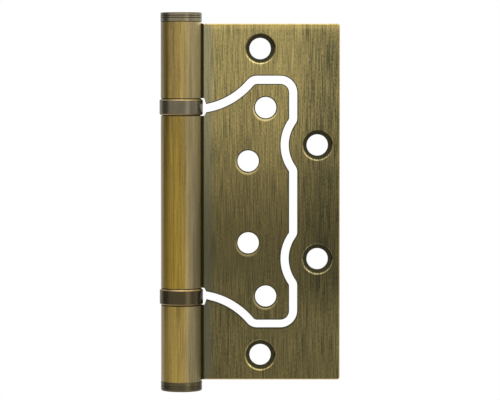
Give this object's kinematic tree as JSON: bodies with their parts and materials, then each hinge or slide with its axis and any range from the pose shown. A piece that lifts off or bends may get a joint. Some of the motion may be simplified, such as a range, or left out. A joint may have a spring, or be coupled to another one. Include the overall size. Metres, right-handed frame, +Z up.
{
  "type": "non-mortise hinge",
  "caption": "Flat door hinge whose smaller leaf folds into a shaped window in the larger one, with ball bearings between the rolled knuckles of its barrel.",
  "frame": {"origin": "on the outer leaf's mounting face, midway between its two end screw holes, at the hinge's mid-height", "axes": "+Z up along the pin, +X from the barrel towards the free edge of the leaves, +Y out of the mounting face into the frame it is screwed to; the face in the picture looks along -Y"},
  "size_m": [0.0506, 0.0121, 0.1062],
  "materials": {
    "bronzed_leaf": "sheet steel, brushed along the height, antique bronze plating",
    "bronzed_cap": "turned steel, antique bronze plating, darker than the leaves",
    "bronzed_ring": "drawn steel ring, grey bronze plating",
    "pin_steel": "ground steel",
    "bearing_steel": "polished hardened steel",
    "cage_nylon": "moulded natural nylon"
  },
  "bodies": {
    "frame_side": {"outer_leaf": "bronzed_leaf", "hinge_pin": "pin_steel", "top_cap": "bronzed_cap", "bottom_cap": "bronzed_cap", "upper_bearing_shell": "bronzed_ring", "upper_bearing_fixed_race": "bearing_steel", "lower_bearing_shell": "bronzed_ring", "lower_bearing_fixed_race": "bearing_steel"},
    "door_side": {"inner_leaf": "bronzed_leaf", "upper_bearing_turning_race": "bearing_steel", "lower_bearing_turning_race": "bearing_steel"},
    "upper_ball_set": {"upper_bearing_cage": "cage_nylon", "upper_bearing_ball_1": "bearing_steel", "upper_bearing_ball_2": "bearing_steel", "upper_bearing_ball_3": "bearing_steel", "upper_bearing_ball_4": "bearing_steel", "upper_bearing_ball_5": "bearing_steel", "upper_bearing_ball_6": "bearing_steel", "upper_bearing_ball_7": "bearing_steel", "upper_bearing_ball_8": "bearing_steel"},
    "lower_ball_set": {"lower_bearing_cage": "cage_nylon", "lower_bearing_ball_1": "bearing_steel", "lower_bearing_ball_2": "bearing_steel", "lower_bearing_ball_3": "bearing_steel", "lower_bearing_ball_4": "bearing_steel", "lower_bearing_ball_5": "bearing_steel", "lower_bearing_ball_6": "bearing_steel", "lower_bearing_ball_7": "bearing_steel", "lower_bearing_ball_8": "bearing_steel"}
  },
  "joints": [
    {"name": "leaf_swing", "type": "hinge", "parent": "frame_side", "child": "door_side", "pos_m": [-0.02215, -0.00125, 0], "axis": [0, 0, -1], "range_deg": [0, 180]},
    {"name": "upper_ball_circling", "type": "hinge", "parent": "frame_side", "child": "upper_ball_set", "pos_m": [-0.02215, -0.00125, 0], "axis": [0, 0, -1], "range_deg": [0, 90]},
    {"name": "lower_ball_circling", "type": "hinge", "parent": "frame_side", "child": "lower_ball_set", "pos_m": [-0.02215, -0.00125, 0], "axis": [0, 0, -1], "range_deg": [0, 90]}
  ],
  "couplings": [
    {"joint": "upper_ball_circling", "follows": "leaf_swing", "ratio": 0.5},
    {"joint": "lower_ball_circling", "follows": "leaf_swing", "ratio": 0.5}
  ]
}
